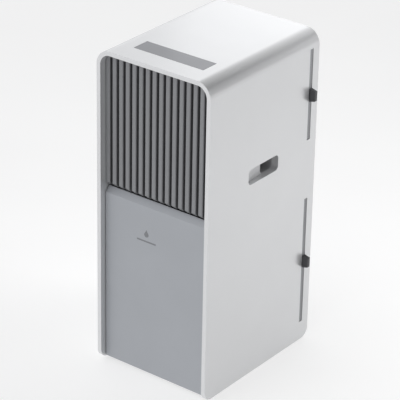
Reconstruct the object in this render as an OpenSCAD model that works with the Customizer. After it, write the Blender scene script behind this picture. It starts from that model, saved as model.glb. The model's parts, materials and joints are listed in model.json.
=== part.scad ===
// Tall indoor dehumidifier: painted sleeve, slatted outlet, pull-out water tank at the
// front, two slide-out dust filters at the back, compressor and coils inside.
// Origin: centre of the footprint at floor level. Front faces -Y, +Z is up.

/* [Sleeve] */
// Overall width, side to side
body_w = 240; // [200:1:290]
// Overall depth, front to back
body_d = 304; // [264:1:366]
// Overall height, floor to top
body_h = 600; // [560:1:720]
// Wall thickness of the sleeve
wall = 8; // [6.5:0.5:10]
// Outer radius of the two long top edges
top_r = 28; // [20:1:34]
// Radius of the lower corners of the side walls
foot_r = 18; // [10:1:24]
// Gap between the sleeve and the floor
floor_gap = 3; // [2:0.5:4.5]
// Clearance around pieces that drop into the sleeve
fit_gap = 0.5; // [0.3:0.1:0.8]

/* [Front grille] */
// Depth of the front faces behind the sleeve's rim
recess = 12; // [8:1:18]
// Number of upright slats
slat_n = 16; // [11:1:18]
// Width of one slat
slat_w = 9; // [7:0.5:10.5]
// Corner radius at the front of each slat
slat_r = 2; // [1:0.25:3]
// Depth of one slat, front to back
slat_d = 12; // [8:1:16]
// Chamfer at the lower front end of each slat
slat_cut = 7; // [2:0.5:8]
// Width of the grille's back frame
grille_rim = 6; // [4:1:10]

/* [Tank] */
// Height of the tank's front panel top edge above the floor
panel_top = 341; // [320:1:360]
// Size of the 45-degree bevel along the panel's top edge
panel_bevel = 10; // [6:1:14]
// Thickness of the panel
panel_t = 3; // [2:0.5:4]
// Height of the bucket itself
bucket_h = 252; // [220:1:258]
// Wall thickness of the bucket
bucket_wall = 2.5; // [2:0.5:4]
// Corner radius of the bucket
bucket_r = 14; // [8:1:20]
// Depth of the bucket, front to back
bucket_d = 117; // [100:1:125]
// Length of the carrying bail from its pivot
bail_len = 50; // [40:1:54]
// Radius of the bail's cross bar
bail_r = 4.5; // [3.5:0.5:5.5]
// Radius of the bail's pivot pins
bail_pin_r = 3; // [2:0.5:4]

/* [Filters] */
// Height of the upper filter slot
upper_slot_h = 170; // [150:1:180]
// Height of the lower filter slot
lower_slot_h = 248; // [220:1:255]
// Bottom of the lower filter slot above the floor
lower_slot_z = 40; // [38:1:46]
// Clearance between a filter and each edge of its slot
slot_gap = 0.7; // [0.4:0.1:1]
// Distance of the slots from the rear edge of the sleeve
slot_inset = 22; // [20:1:26]
// Distance of the upper slot's end from the top
slot_top = 28; // [24:1:34]
// Thickness of a filter frame
filter_t = 7.6; // [5:0.1:9.5]
// Width of the filter frame's border
filter_rim = 9; // [7:1:12]
// Length of a pull tab outside the sleeve
tab_len = 12; // [9:0.5:15]
// Height of a pull tab at its root
tab_h = 24; // [20:1:30]
// Height of a pull tab at its tip
tab_tip_h = 18; // [14:1:20]
// Thickness of a pull tab
tab_t = 7; // [5:0.5:9]

/* [Carry pockets] */
// Length of a carry pocket's mouth
pocket_w = 84; // [76:1:92]
// Height of a carry pocket's mouth
pocket_h = 29; // [26:1:32]
// Depth of a carry pocket's cup behind the wall
pocket_depth = 30; // [24:1:34]
// Length of the cup at the rear end of a carry pocket
cup_w = 36; // [30:1:44]
// Depth of the finger ramp behind the wall, where it meets the cup
ramp_depth = 4; // [2.5:0.5:7]
// Corner radius of the mouth
pocket_r = 8; // [5:1:12]
// Height of the pocket's centre above the floor
pocket_z = 392; // [385:1:400]

/* [Display] */
// Length of the touch strip on the top
strip_w = 146; // [120:1:160]
// Width of the touch strip, front to back
strip_d = 36; // [28:1:40]
// Thickness of the touch strip
strip_t = 2.4; // [2:0.2:3]
// Distance of the strip from the front edge
strip_inset = 40; // [34:1:50]

/* [Fan] */
// Gap between the fan's duct and the walls of the sleeve
fan_gap = 18; // [12:1:26]
// Number of fan blades
blade_n = 7; // [5:1:9]
// Pitch angle of the blades
blade_pitch = 35; // [25:1:45]
// Radius of the fan hub
hub_r = 26; // [22:1:32]
// Radius of the motor shaft
shaft_r = 4; // [3:0.5:5]
// Radius of the fan motor
motor_r = 36; // [30:1:40]
// Length of the fan motor
motor_len = 42; // [36:1:48]

/* [Cooling circuit] */
// Radius of the compressor shell
comp_r = 46; // [38:1:47]
// Height of the straight part of the compressor
comp_h = 140; // [110:1:150]
// Radius of the suction accumulator
acc_r = 18; // [14:1:20]
// Depth of both coils, front to back
coil_d = 25; // [20:1:26]
// Pitch of the fins in the coils
fin_pitch = 6; // [5:0.5:9]
// Pitch of the tube rows in the coils
tube_pitch = 25; // [22:0.5:25]
// Radius of the coil tubes
tube_r = 4; // [3:0.5:4.5]
// Number of tube rows in the upper coil
evap_rows = 7; // [5:2:7]
// Number of tube rows in the lower coil
cond_rows = 9; // [7:2:9]

/* [Rear and drain] */
// Thickness of the rear cover
cover_t = 3; // [2.5:0.5:4]
// Distance of the rear cover from the sleeve's rear edge
cover_inset = 12; // [10:0.5:13]
// Pitch of the intake slots
vent_pitch = 10; // [8:1:14]
// Height of one intake slot
vent_h = 5.5; // [4:0.5:7]
// Number of intake slots side by side
vent_cols = 4; // [3:1:5]
// Outer radius of the drain spout
spout_r = 6; // [5:0.5:7]
// Wall thickness of the drain spout
spout_wall = 2; // [1.5:0.25:2.5]
// Radius of the rubber feet
foot_pad_r = 14; // [10:1:18]

/* [View] */
// Node to draw, or all of them

/* [Hidden] */
$fn = 48;
eps = 1;
sides = [-1, 1];
pin_gap = 0.05;
sheet_t = 3;
skin_t = 2;
arc_fn = 24;
ring_fn = 16;

// Colours
shell_c = [0.93, 0.93, 0.94];
panel_c = [0.63, 0.65, 0.67];
grille_c = [0.44, 0.45, 0.47];
dark_c = [0.24, 0.24, 0.26];
black_c = [0.1, 0.1, 0.1];
frame_c = [0.7, 0.7, 0.72];
steel_c = [0.72, 0.73, 0.75];
alu_c = [0.8, 0.81, 0.83];
copper_c = [0.78, 0.45, 0.28];
board_c = [0.1, 0.38, 0.2];
clear_c = [0.75, 0.82, 0.86, 0.6];
rubber_c = [0.15, 0.15, 0.16];

// Main planes
half_w = body_w / 2;
half_d = body_d / 2;
in_hw = half_w - wall;
in_top = body_h - wall;
in_r = top_r - wall;
fit_hw = in_hw - fit_gap;
fit_top = in_top - fit_gap;
fit_r = in_r - fit_gap;
face_y = -half_d + recess;
base_z = 5;
pan_z = base_z + 4;
shelf_z = panel_top + 11;
shelf_top = shelf_z + sheet_t;
cover_y = half_d - cover_inset - cover_t;
cover_back = cover_y + cover_t;

// Grille
slat_pitch = (2 * fit_hw - slat_w) / (slat_n - 1);
grille_gap = 3;
grille_set = 1;
tie_n = 2;
grille_z = panel_top + grille_gap;
grille_face = face_y + grille_set;
grille_back = grille_face + slat_d;

// Tank
panel_gap = 0.8;
panel_lift = 1;
panel_hw = in_hw - panel_gap;
panel_z = base_z + panel_lift;
panel_back = face_y + panel_t;
return_d = 9;
tank_side_gap = 8;
tank_rear_gap = 6;
bucket_hw = in_hw - tank_side_gap;
rail_h = 4.7;
rail_w = 6;
rail_gap = 0.3;
rail_x = 61;
bead_x = 55;
bead_r = 2.5;
bucket_z = pan_z + rail_h + rail_gap;
bucket_top = bucket_z + bucket_h;
bucket_y0 = panel_back;
bucket_y1 = bucket_y0 + bucket_d;
bucket_mid = (bucket_y0 + bucket_y1) / 2;
bulk_y = bucket_y1 + tank_rear_gap;
lid_t = 3;
lid_top = bucket_top + lid_t;
inlet_w = 40;
inlet_d = 30;
inlet_inset = 25;
inlet_y = bucket_y1 - inlet_inset;
lug_t = 5;
lug_gap = 0.5;
lug_wall = 3;
bail_lift = 2.5;
bail_rear = 3;
bail_side = 12;
bail_z = lid_top + bail_r + bail_lift;
bail_y = bucket_y1 - bail_len - bail_r - bail_rear;
bail_hw = bucket_hw - bail_side;
bail_w = 4;

// Float
float_x = -70;
float_w = 40;
float_h = 20;
float_d = 26;
float_pin_r = 2;
float_inset = 12;
float_hang = 18;
float_y = bucket_y1 - float_inset;
float_z = bucket_top - float_hang;
float_reach = 36;
float_drop = 23;
float_arm = 4;
float_lug_x = 12;

// Filters
slot_y = half_d - slot_inset;
slot_t = filter_t + 2 * slot_gap;
slide_gap = 0.7;
tab_neck = min(tab_t, filter_t) - 2 * eps;
slot_edge = 0.8;
stop_w = 3;
upper_slot_z = body_h - slot_top - upper_slot_h;
filter_x0 = -fit_hw + stop_w + fit_gap;
filter_x1 = half_w - slot_edge;
filter_y0 = slot_y - filter_t / 2;
rib_t = 2.5;
mesh_t = 0.8;
rib_w = 3;
cell = 50;
tab_gap = 0.5;
tab_root = half_w + tab_gap;
guide_lip = 1.6;
guide_gap = 0.4;
guide_floor = 3;
guide_grip = 4;

// Pocket
pocket_wall = 2;
flange_w = 6;
ramp_start = 0.5;
cup_y = (pocket_w - cup_w) / 2;

// Display
strip_y0 = -half_d + strip_inset;
strip_y = strip_y0 + strip_d / 2;
strip_gap = 0.2;
strip_z = body_h - strip_t;
window_edge = 6;
board_t = 1.6;

// Coils
coil_gap = 6.5;
bend_gap = 6;
coil_y1 = slot_y - slot_t / 2 - coil_gap;
coil_y0 = coil_y1 - coil_d;
coil_mid = (coil_y0 + coil_y1) / 2;
plate_t = 1.5;
coil_x = in_hw - tube_pitch / 2 - tube_r - bend_gap;
coil_hw = coil_x - plate_t;
fin_cut = 9;
fin_slot = 3.4;
tray_side = 8;
tray_front = 7;
tray_rear = 3;
tray_lift = 9.5;
tray_h = 30;
tray_wall = 2.5;
tray_x = in_hw - tray_side;
tray_y0 = coil_y0 - tray_front;
tray_y1 = coil_y1 + tray_rear;
tray_floor = shelf_top + tray_lift;
tray_top = tray_floor + tray_h;
tray_rib_x = 62;
evap_lift = 6;
cond_lift = 6;
row_edge = 11;
evap_z = tray_top + evap_lift;
evap_tube_z = evap_z + row_edge;
evap_last_z = evap_tube_z + (evap_rows - 1) * tube_pitch;
evap_top = evap_last_z + row_edge;
cond_z = lower_slot_z + cond_lift;
cond_tube_z = cond_z + row_edge;
cond_last_z = cond_tube_z + (cond_rows - 1) * tube_pitch;
cond_top = cond_last_z + row_edge;

// Machine bay
bay_y0 = bulk_y + sheet_t;
comp_side = 18;
comp_lift = 22;
dome_ratio = 1.52;
comp_x = -in_hw + comp_r + comp_side;
comp_y = (bay_y0 + coil_y0) / 2;
comp_z = pan_z + comp_lift;
dome_r = comp_r * dome_ratio;
dome_drop = sqrt(dome_r * dome_r - comp_r * comp_r);
comp_top = comp_z + sheet_t + comp_h;
comp_peak = comp_top + dome_r - dome_drop;
grommet_r = 9;
foot_inset = 6;
lobe_reach = 4;
lobe_r = comp_r + lobe_reach;
lobe_angles = [90, 210, 330];
acc_gap = 7;
acc_shift = 10;
acc_lift = 60;
acc_x = comp_x + comp_r + acc_r + acc_gap;
acc_y = comp_y - acc_shift;
acc_z = pan_z + acc_lift;
acc_h = 100;
cap_r = 16;
cap_h = 62;
cap_side = 30;
cap_front = 26;
cap_x = in_hw - cap_side;
cap_y = bay_y0 + cap_front;
ctl_w = 58;
ctl_d = 48;
ctl_h = 127;
ctl_side = 4;
ctl_drop = 8;
ctl_x1 = in_hw - ctl_side;
ctl_x0 = ctl_x1 - ctl_w;
ctl_y0 = bay_y0;
ctl_y1 = ctl_y0 + ctl_d;
ctl_z1 = shelf_z - ctl_drop;
ctl_z0 = ctl_z1 - ctl_h;
pipe_r = 4;
cap_pipe_r = 1.6;
pipe_side = 10;
pipe_front = 25;
cap_pipe_front = 13;
pipe_x = in_hw - pipe_side;
pipe_y = coil_y0 - pipe_front;
cap_pipe_y = coil_y0 - cap_pipe_front;
hot_drop = 47;
cool_drop = 27;
hot_z = shelf_z - hot_drop;
cool_z = shelf_z - cool_drop;
hole_gap = 1;

// Shelf air opening
vent_x = 80;
vent_front = 31;
vent_d = 42;
vent_y0 = bay_y0 + vent_front;
vent_y1 = vent_y0 + vent_d;

// Rear
screw_r = 1.9;
screw_hole_r = 2.05;
head_r = 3.6;
head_h = 2;
screw_len = 11;
boss_r = 5;
boss_len = 12;
screw_side = 12;
low_screw_rise = 15;
mid_screw_drop = 8;
top_screw_side = 34;
top_screw_drop = 9;
screw_x = in_hw - screw_side;
low_screw_z = base_z + low_screw_rise;
mid_screw_z = shelf_z - mid_screw_drop;
top_screw_x = in_hw - top_screw_side;
top_screw_z = in_top - top_screw_drop;
flange_h = 17;
side_flange_h = 20;
cover_rim = 3;
socket_drop = 34;
socket_x = -60;
socket_z = shelf_z - socket_drop;
socket_w = 28;
socket_h = 20;
socket_flange = 5;
socket_depth = 20;
socket_wall = 2;
spout_x = 62;
spout_rise = 0.6;
spout_hole = 0.5;
collar_r = spout_r + 4;
collar_t = 1.5;
spout_bore_r = spout_r - spout_wall;
spout_z = tray_floor + tray_wall + spout_bore_r + spout_rise;
spout_inset = 3;
spout_end = half_d - spout_inset;
plug_head = 2;
plug_len = 9;
vent_margin = 12;
vent_bar = 8;
vent_edge = 4;
sensor_drop = 60;
sensor_w = 26;
sensor_h = 18;
sensor_d = 9;

// Feet
foot_side = 24;
foot_front = 46;
foot_rear = 34;
foot_x = in_hw - foot_side;
foot_y0 = -half_d + foot_front;
foot_y1 = half_d - foot_rear;
foot_peg_r = 4;

// Fan group
fan_z = (shelf_top + in_top) / 2;
outlet_room = 66;
shroud_y = grille_back + outlet_room;
ring_wall = 2.5;
tip_gap = 3;
duct_gap = 2;
duct_r = min(fit_hw - fan_gap, fan_z - spout_z - spout_r - duct_gap);
ring_r = duct_r - ring_wall;
fan_r = ring_r - tip_gap;
ring_len = 30;
hub_set = 2;
hub_y = shroud_y + hub_set;
hub_len = 28;
blade_t = 3;
motor_room = 12;
motor_y = shroud_y + ring_len + motor_room;
bracket_t = 4;
bracket_y = motor_y - bracket_t;
arm_w = 14;
arm_angle = 55;
post_gap = 6;
post_r = ring_r + post_gap;
post_d = 7;

// Straight box given by its limits
module span(x, y, z) {
  translate([x[0], y[0], z[0]])
    cube([x[1] - x[0], y[1] - y[0], z[1] - z[0]]);
}

// Outline drawn in X and Z, extruded from y0 to y1
module along_y(y0, y1) {
  translate([0, y1, 0])
    rotate([90, 0, 0])
      linear_extrude(y1 - y0)
        children();
}

// Outline drawn in Y and Z, extruded from x0 to x1
module along_x(x0, x1) {
  translate([x0, 0, 0])
    rotate([90, 0, 90])
      linear_extrude(x1 - x0)
        children();
}

// Rectangle with round upper corners
module arch_outline(hw, z0, z1, r) {
  translate([-hw, z0])
    square([2 * hw, z1 - r - z0]);
  translate([-hw + r, z0])
    square([2 * (hw - r), z1 - z0]);
  for (s = sides)
    translate([s * (hw - r), z1 - r])
      circle(r);
}

// Rectangle with four round corners, centred
module round_outline(w, h, r) {
  square([w - 2 * r, h], center = true);
  square([w, h - 2 * r], center = true);
  for (sx = sides)
    for (sy = sides)
      translate([sx * (w / 2 - r), sy * (h / 2 - r)])
        circle(r);
}

// Straight rod from point a to point b
module rod(a, b, r) {
  v = b - a;
  len = norm(v);
  translate(a)
    rotate([0, acos(v[2] / len), atan2(v[1], v[0])])
      cylinder(h = len, r = r, $fn = ring_fn);
}

// Pipe through a list of points, round at each bend
module pipe_run(points, r) {
  for (i = [0 : len(points) - 2])
    rod(points[i], points[i + 1], r);
  for (i = [1 : len(points) - 2])
    translate(points[i])
      sphere(r, $fn = ring_fn);
}

// Side view of the sleeve, lower corners rounded
module side_outline() {
  translate([-half_d, floor_gap + foot_r])
    square([body_d, body_h - floor_gap - foot_r]);
  translate([-half_d + foot_r, floor_gap])
    square([body_d - 2 * foot_r, foot_r + eps]);
  for (s = sides)
    translate([s * (half_d - foot_r), floor_gap + foot_r])
      circle(foot_r);
}

// Opening for one filter in the right wall
module filter_slot(z0, h) {
  span([in_hw - eps, half_w + eps], [slot_y - slot_t / 2, slot_y + slot_t / 2], [z0, z0 + h]);
}

// Mouth of a carry pocket, both sides at once
module pocket_mouths() {
  translate([0, 0, pocket_z])
    along_x(-half_w - eps, half_w + eps)
      round_outline(pocket_w, pocket_h, pocket_r);
}

// Recess and window for the touch strip
module strip_cut() {
  translate([0, strip_y, strip_z])
    linear_extrude(strip_t + eps)
      square([strip_w + 2 * strip_gap, strip_d + 2 * strip_gap], center = true);
  translate([0, strip_y, in_top - eps])
    linear_extrude(wall)
      square([strip_w - 2 * window_edge, strip_d - 2 * window_edge], center = true);
}

// Painted outer sleeve: both sides and the top in one bent shell
module sleeve() {
  color(shell_c)
    difference() {
      union() {
        intersection() {
          along_y(-half_d, half_d)
            difference() {
              arch_outline(half_w, floor_gap, body_h, top_r);
              arch_outline(in_hw, floor_gap - eps, in_top, in_r);
            }
          along_x(-half_w, half_w)
            side_outline();
        }
        for (s = sides)
          translate([s * top_screw_x, cover_y, top_screw_z]) {
            rotate([90, 0, 0])
              cylinder(h = boss_len, r = boss_r);
            span([-boss_r, boss_r], [-boss_len, 0], [0, in_top - top_screw_z + eps]);
          }
      }
      filter_slot(upper_slot_z, upper_slot_h);
      filter_slot(lower_slot_z, lower_slot_h);
      pocket_mouths();
      strip_cut();
      screw_holes(top_screw_x, top_screw_z);
    }
}

// One upright slat with rounded front corners
module slat(x) {
  side = slat_w / 2 - slat_r;
  translate([x, grille_face, grille_z])
    linear_extrude(in_top - grille_z) {
      translate([-side, 0])
        square([2 * side, slat_d]);
      translate([-slat_w / 2, slat_r])
        square([slat_w, slat_d - slat_r]);
      for (s = sides)
        translate([s * side, slat_r])
          circle(slat_r, $fn = arc_fn);
    }
}

// Outlet grille: upright slats tied together at the back
module front_grille() {
  tie_pitch = (in_top - grille_z) / (tie_n + 1);
  color(grille_c)
    difference() {
      intersection() {
        union() {
          for (i = [0 : slat_n - 1])
            slat(-fit_hw + slat_w / 2 + i * slat_pitch);
          along_y(grille_back - sheet_t, grille_back)
            difference() {
              arch_outline(fit_hw, grille_z, fit_top, fit_r);
              arch_outline(fit_hw - grille_rim, grille_z + grille_rim, fit_top - grille_rim,
                fit_r - grille_rim);
            }
          for (i = [1 : tie_n])
            translate([0, 0, grille_z + i * tie_pitch])
              span([-fit_hw, fit_hw], [grille_back - sheet_t, grille_back], [0, sheet_t]);
        }
        along_y(grille_face - eps, grille_back + eps)
          arch_outline(fit_hw, grille_z, fit_top, fit_r);
      }
      along_x(-half_w, half_w)
        polygon([[grille_face - eps, grille_z - eps],
          [grille_face + slat_cut + eps, grille_z - eps],
          [grille_face - eps, grille_z + slat_cut + eps]]);
    }
}

// Base pan with flanges around the machine bay, two rails under the tank and three
// stiffening beads on the underside
module base_pan() {
  pan_y0 = panel_back + panel_gap;
  color(steel_c)
    difference() {
      union() {
        span([-fit_hw, fit_hw], [pan_y0, cover_y], [base_z, pan_z]);
        for (s = sides) {
          translate([s * (fit_hw - skin_t / 2), 0, 0])
            span([-skin_t / 2, skin_t / 2], [bay_y0, cover_y], [pan_z - eps, pan_z + side_flange_h]);
          translate([s * rail_x, 0, 0])
            span([-rail_w / 2, rail_w / 2], [pan_y0, bulk_y], [pan_z - eps, pan_z + rail_h]);
          translate([s * screw_x, cover_y, low_screw_z])
            rotate([90, 0, 0])
              cylinder(h = boss_len, r = boss_r);
        }
        span([-fit_hw, fit_hw], [cover_y - skin_t, cover_y], [pan_z - eps, pan_z + side_flange_h]);
        for (x = [-bead_x, 0, bead_x])
          translate([x, 0, base_z])
            along_y(foot_y0 + foot_pad_r, foot_y1 - foot_pad_r)
              circle(bead_r, $fn = arc_fn);
      }
      screw_holes(screw_x, low_screw_z);
      for (s = sides)
        for (y = [foot_y0, foot_y1])
          translate([s * foot_x, y, base_z - eps])
            cylinder(h = pan_z - base_z + 2 * eps, r = foot_peg_r);
    }
}

// Four rubber feet with pegs in the base pan
module rubber_feet() {
  color(rubber_c)
    for (s = sides)
      for (y = [foot_y0, foot_y1])
        translate([s * foot_x, y, 0]) {
          cylinder(h = base_z, r = foot_pad_r);
          cylinder(h = pan_z, r = foot_peg_r);
        }
}

// Wall between the tank bay and the machine bay
module tank_bulkhead() {
  color(frame_c)
    span([-fit_hw, fit_hw], [bulk_y, bay_y0], [pan_z, shelf_z]);
}

// Shelf that carries the fan, the upper coil and the drip tray
module mid_shelf() {
  shelf_y0 = grille_back;
  color(frame_c)
    difference() {
      union() {
        span([-fit_hw, fit_hw], [shelf_y0, cover_y], [shelf_z, shelf_top]);
        span([-fit_hw, fit_hw], [cover_y - skin_t, cover_y], [shelf_z - flange_h, shelf_z + eps]);
        for (s = sides)
          translate([s * screw_x, cover_y, mid_screw_z])
            rotate([90, 0, 0])
              cylinder(h = boss_len, r = boss_r);
      }
      screw_holes(screw_x, mid_screw_z);
      span([-vent_x, vent_x], [vent_y0, vent_y1], [shelf_z - eps, shelf_top + eps]);
      translate([0, inlet_y, shelf_z - eps])
        cylinder(h = sheet_t + 2 * eps, r = spout_r + hole_gap);
      translate([pipe_x, pipe_y, shelf_z - eps])
        cylinder(h = sheet_t + 2 * eps, r = pipe_r + hole_gap);
      translate([-pipe_x, cap_pipe_y, shelf_z - eps])
        cylinder(h = sheet_t + 2 * eps, r = cap_pipe_r + hole_gap);
    }
}

// Pair of screw holes through the rear cover and the bosses
module screw_holes(x, z) {
  for (s = sides)
    translate([s * x, cover_back + eps, z])
      rotate([90, 0, 0])
        cylinder(h = cover_t + boss_len + 2 * eps, r = screw_hole_r, $fn = arc_fn);
}

// Field of intake slots behind one filter
module vent_field(z0, h) {
  rows = floor((h - vent_h) / vent_pitch);
  full_w = 2 * (in_hw - vent_margin);
  slot_w = (full_w - (vent_cols - 1) * vent_bar) / vent_cols;
  start = z0 + (h - rows * vent_pitch - vent_h) / 2;
  for (c = [0 : vent_cols - 1])
    for (r = [0 : rows])
      translate([-full_w / 2 + c * (slot_w + vent_bar), start + r * vent_pitch])
        square([slot_w, vent_h]);
}

// Rear cover with two fields of intake slots and a raised rim
module rear_cover() {
  color(frame_c)
    difference() {
      union() {
        along_y(cover_y, cover_back)
          difference() {
            arch_outline(fit_hw, base_z, fit_top, fit_r);
            vent_field(upper_slot_z + vent_edge, upper_slot_h - 2 * vent_edge);
            vent_field(lower_slot_z + vent_edge, lower_slot_h - 2 * vent_edge);
          }
        along_y(cover_back - eps, cover_back + cover_rim)
          difference() {
            arch_outline(fit_hw, base_z, fit_top, fit_r);
            arch_outline(fit_hw - cover_rim, base_z + cover_rim, fit_top - cover_rim,
              fit_r - cover_rim);
          }
      }
      screw_holes(screw_x, low_screw_z);
      screw_holes(screw_x, mid_screw_z);
      screw_holes(top_screw_x, top_screw_z);
      translate([socket_x, 0, socket_z])
        along_y(cover_y - eps, cover_back + eps)
          square([socket_w, socket_h], center = true);
      translate([spout_x, 0, spout_z])
        along_y(cover_y - eps, cover_back + eps)
          circle(spout_r + spout_hole);
    }
}

// One cross-head screw pointing to -Y
module screw() {
  slot_w = 1;
  rotate([90, 0, 0])
    cylinder(h = screw_len, r = screw_r, $fn = arc_fn);
  difference() {
    rotate([-90, 0, 0])
      cylinder(h = head_h, r = head_r, $fn = arc_fn);
    for (a = [0, 90])
      rotate([0, a, 0])
        span([-head_r / 2, head_r / 2], [head_h / 2, head_h + eps], [-slot_w / 2, slot_w / 2]);
  }
}

// Six screws that hold the rear cover
module rear_screws() {
  spots = [[screw_x, low_screw_z], [screw_x, mid_screw_z], [top_screw_x, top_screw_z]];
  color(steel_c)
    for (p = spots)
      for (s = sides)
        translate([s * p[0], cover_back, p[1]])
          screw();
}

// Channel rails above and below one filter, with an end stop on the left
module guide_pair(z0, h) {
  half = filter_t / 2 + guide_gap;
  color(frame_c) {
    difference() {
      span([-fit_hw, fit_hw], [slot_y - half - guide_lip, cover_y],
        [z0 - guide_floor, z0 + guide_grip]);
      span([-fit_hw - eps, fit_hw + eps], [slot_y - half, slot_y + half],
        [z0, z0 + guide_grip + eps]);
    }
    difference() {
      span([-fit_hw, fit_hw], [slot_y - half - guide_lip, cover_y],
        [z0 + h - guide_grip, z0 + h + guide_floor]);
      span([-fit_hw - eps, fit_hw + eps], [slot_y - half, slot_y + half],
        [z0 + h - guide_grip - eps, z0 + h]);
    }
    span([-fit_hw, -fit_hw + stop_w], [slot_y - half - guide_lip, cover_y],
      [z0 - guide_floor, z0 + h + guide_floor]);
  }
}

module upper_guides() {
  guide_pair(upper_slot_z, upper_slot_h);
}

module lower_guides() {
  guide_pair(lower_slot_z, lower_slot_h);
}

// Filter frame with thin cross ribs
module filter_frame(z0, h) {
  x = [filter_x0, filter_x1];
  z = [z0 + slide_gap, z0 + h - slide_gap];
  inner_w = x[1] - x[0] - 2 * filter_rim;
  inner_h = z[1] - z[0] - 2 * filter_rim;
  cols = ceil(inner_w / cell);
  rows = ceil(inner_h / cell);
  color(frame_c) {
    difference() {
      span(x, [filter_y0, filter_y0 + filter_t], z);
      span([x[0] + filter_rim, x[1] - filter_rim], [filter_y0 - eps, filter_y0 + filter_t + eps],
        [z[0] + filter_rim, z[1] - filter_rim]);
    }
    for (i = [1 : cols - 1])
      translate([x[0] + filter_rim + i * inner_w / cols, 0, 0])
        span([-rib_w / 2, rib_w / 2], [filter_y0, filter_y0 + rib_t],
          [z[0] + filter_rim - eps, z[1] - filter_rim + eps]);
    for (i = [1 : rows - 1])
      translate([0, 0, z[0] + filter_rim + i * inner_h / rows])
        span([x[0] + filter_rim - eps, x[1] - filter_rim + eps], [filter_y0, filter_y0 + rib_t],
          [-rib_w / 2, rib_w / 2]);
  }
}

// Woven mesh behind the ribs of a filter frame
module filter_mesh(z0, h) {
  color(dark_c)
    span([filter_x0 + filter_rim, filter_x1 - filter_rim],
      [filter_y0 + rib_t, filter_y0 + rib_t + mesh_t],
      [z0 + slide_gap + filter_rim, z0 + h - slide_gap - filter_rim]);
}

// Tapered pull tab on a neck that passes through the slot
module filter_tab(z0, h) {
  neck = tab_h / 3;
  color(dark_c)
    translate([0, slot_y, z0 + h / 2]) {
      span([filter_x1, tab_root + eps], [-tab_neck / 2, tab_neck / 2], [-neck, neck]);
      along_y(-tab_t / 2, tab_t / 2)
        polygon([[tab_root, -tab_h / 2], [half_w + tab_len, -tab_tip_h / 2],
          [half_w + tab_len, tab_tip_h / 2], [tab_root, tab_h / 2]]);
    }
}

module upper_filter_frame() {
  filter_frame(upper_slot_z, upper_slot_h);
}

module upper_filter_mesh() {
  filter_mesh(upper_slot_z, upper_slot_h);
}

module upper_filter_tab() {
  filter_tab(upper_slot_z, upper_slot_h);
}

module lower_filter_frame() {
  filter_frame(lower_slot_z, lower_slot_h);
}

module lower_filter_mesh() {
  filter_mesh(lower_slot_z, lower_slot_h);
}

module lower_filter_tab() {
  filter_tab(lower_slot_z, lower_slot_h);
}

// Finger ramp that leads into the cup, as a prism along Z
module pocket_ramp() {
  y0 = -pocket_w / 2;
  y1 = pocket_w / 2 - cup_w;
  translate([0, 0, -pocket_h / 2])
    linear_extrude(pocket_h)
      polygon([[in_hw - ramp_depth - eps, y0 - eps], [in_hw - ramp_start, y0 - eps],
        [in_hw - ramp_start, y0], [in_hw - ramp_depth, y1], [in_hw - ramp_depth - eps, y1]]);
}

// Carry pocket liner, open towards +X, drawn for the right side
module pocket_liner() {
  w = pocket_wall;
  translate([0, 0, pocket_z])
    difference() {
      union() {
        along_x(in_hw - pocket_depth - w, in_hw - w)
          translate([cup_y, 0])
            round_outline(cup_w + 2 * w, pocket_h + 2 * w, pocket_r + w);
        along_x(in_hw - ramp_depth - w, in_hw - w)
          round_outline(pocket_w + 2 * w, pocket_h + 2 * w, pocket_r + w);
        along_x(in_hw - w, in_hw)
          round_outline(pocket_w + 2 * flange_w, pocket_h + 2 * flange_w, pocket_r);
      }
      along_x(in_hw - pocket_depth, in_hw + eps)
        translate([cup_y, 0])
          round_outline(cup_w, pocket_h, pocket_r);
      difference() {
        along_x(in_hw - ramp_depth, in_hw + eps)
          round_outline(pocket_w, pocket_h, pocket_r);
        pocket_ramp();
      }
    }
}

module pocket_right() {
  color(panel_c)
    pocket_liner();
}

module pocket_left() {
  color(panel_c)
    mirror([1, 0, 0])
      pocket_liner();
}

// Touch strip flush with the top
module touch_strip() {
  color(grille_c)
    translate([0, strip_y, strip_z])
      linear_extrude(strip_t)
        square([strip_w, strip_d], center = true);
}

// Display board under the top with its light block below the strip
module display_board() {
  light_w = 100;
  light_d = 14;
  color(board_c)
    translate([0, strip_y, 0]) {
      translate([0, 0, in_top - board_t])
        linear_extrude(board_t)
          square([strip_w - window_edge, strip_d - window_edge / 2], center = true);
      translate([0, 0, in_top])
        linear_extrude(strip_z - in_top)
          square([light_w, light_d], center = true);
    }
}

// Fan shroud: plate across the sleeve with a short round duct
module fan_shroud() {
  color(frame_c)
    difference() {
      union() {
        along_y(shroud_y, shroud_y + sheet_t)
          arch_outline(fit_hw, shelf_top, fit_top, fit_r);
        translate([0, shroud_y + ring_len, fan_z])
          rotate([90, 0, 0])
            cylinder(h = ring_len, r = ring_r + ring_wall);
      }
      translate([0, shroud_y + ring_len + eps, fan_z])
        rotate([90, 0, 0])
          cylinder(h = ring_len + 2 * eps, r = ring_r);
    }
}

// Motor carrier: a plate, four arms and four posts to the shroud plate
module motor_bracket() {
  step = 1;
  lap = 5;
  rear = bracket_y + bracket_t;
  post_y = shroud_y + sheet_t;
  color(steel_c)
    translate([0, 0, fan_z])
      difference() {
        union() {
          translate([0, rear, 0])
            rotate([90, 0, 0])
              cylinder(h = bracket_t + step, r = motor_r);
          for (a = [arm_angle, 180 - arm_angle, 180 + arm_angle, 360 - arm_angle])
            rotate([0, a, 0])
              translate([0, 0, -arm_w / 2])
                linear_extrude(arm_w)
                  polygon([[motor_r - lap, bracket_y], [post_r, bracket_y], [post_r, post_y],
                    [post_r + post_d, post_y], [post_r + post_d, rear - step],
                    [motor_r - lap, rear - step]]);
        }
        translate([0, rear + eps, 0])
          rotate([90, 0, 0])
            cylinder(h = bracket_t + step + 2 * eps, r = shaft_r + 2 * hole_gap);
      }
}

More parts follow.
